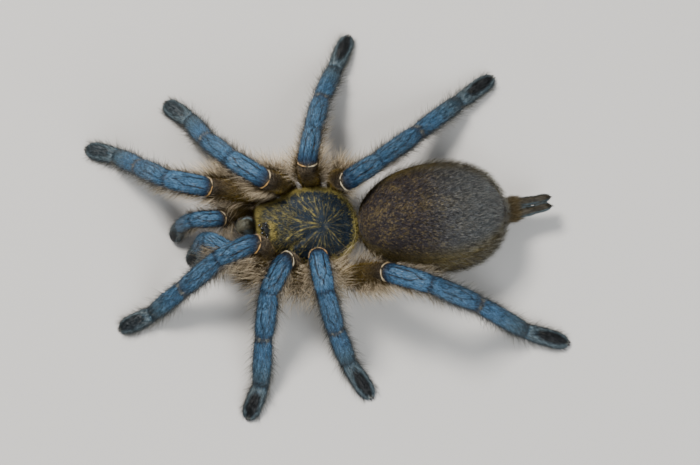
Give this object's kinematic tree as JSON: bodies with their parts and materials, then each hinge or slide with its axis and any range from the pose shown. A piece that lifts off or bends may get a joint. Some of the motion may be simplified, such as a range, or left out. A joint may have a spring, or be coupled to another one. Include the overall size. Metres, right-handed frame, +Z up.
{
  "type": "tarantula",
  "caption": "Life-size still model of a blue-legged, golden-brown baboon tarantula standing with its legs spread and its belly on the floor.",
  "frame": {"origin": "under the middle of the animal's bounding box, at floor level", "axes": "+Z up; the head points along -Y and the spider's right side is on -X"},
  "size_m": [0.071, 0.0846, 0.0189],
  "materials": {
    "blue_coat": "short steel-blue velvet hair with a faint metallic sheen",
    "slate_coat": "grey-blue brushed hair, black on the pads",
    "golden_coat": "long golden-olive and beige hair",
    "brown_coat": "short dark brown velvet speckled with gold",
    "carapace_coat": "dark velvet with golden rays",
    "eye": "glossy black lens",
    "fang": "polished near-black horn"
  },
  "bodies": {
    "root": {"leg1_right_femur": "golden_coat", "leg1_right_patella": "blue_coat", "leg1_right_tibia": "blue_coat", "leg1_right_foot": "slate_coat", "leg1_left_femur": "golden_coat", "leg1_left_patella": "blue_coat", "leg1_left_tibia": "blue_coat", "leg1_left_foot": "slate_coat", "leg2_right_femur": "golden_coat", "leg2_right_patella": "blue_coat", "leg2_right_tibia": "blue_coat", "leg2_right_foot": "slate_coat", "leg2_left_femur": "golden_coat", "leg2_left_patella": "blue_coat", "leg2_left_tibia": "blue_coat", "leg2_left_foot": "slate_coat", "leg3_right_femur": "golden_coat", "leg3_right_patella": "blue_coat", "leg3_right_tibia": "blue_coat", "leg3_right_foot": "slate_coat", "leg3_left_femur": "golden_coat", "leg3_left_patella": "blue_coat", "leg3_left_tibia": "blue_coat", "leg3_left_foot": "slate_coat", "leg4_right_femur": "golden_coat", "leg4_right_patella": "blue_coat", "leg4_right_tibia": "blue_coat", "leg4_right_foot": "slate_coat", "leg4_left_femur": "golden_coat", "leg4_left_patella": "blue_coat", "leg4_left_tibia": "blue_coat", "leg4_left_foot": "slate_coat", "palp_right_femur": "golden_coat", "palp_right_patella": "blue_coat", "palp_right_tibia": "blue_coat", "palp_right_foot": "slate_coat", "palp_left_femur": "golden_coat", "palp_left_patella": "blue_coat", "palp_left_tibia": "blue_coat", "palp_left_foot": "slate_coat", "carapace": "carapace_coat", "sternum": "brown_coat", "waist": "brown_coat", "abdomen": "brown_coat", "chelicera_right": "slate_coat", "fang_right": "fang", "spinneret_right": "golden_coat", "eye_front_median_right": "eye", "eye_front_lateral_right": "eye", "eye_rear_lateral_right": "eye", "eye_rear_median_right": "eye", "chelicera_left": "slate_coat", "fang_left": "fang", "spinneret_left": "golden_coat", "eye_front_median_left": "eye", "eye_front_lateral_left": "eye", "eye_rear_lateral_left": "eye", "eye_rear_median_left": "eye"}
  },
  "joints": []
}
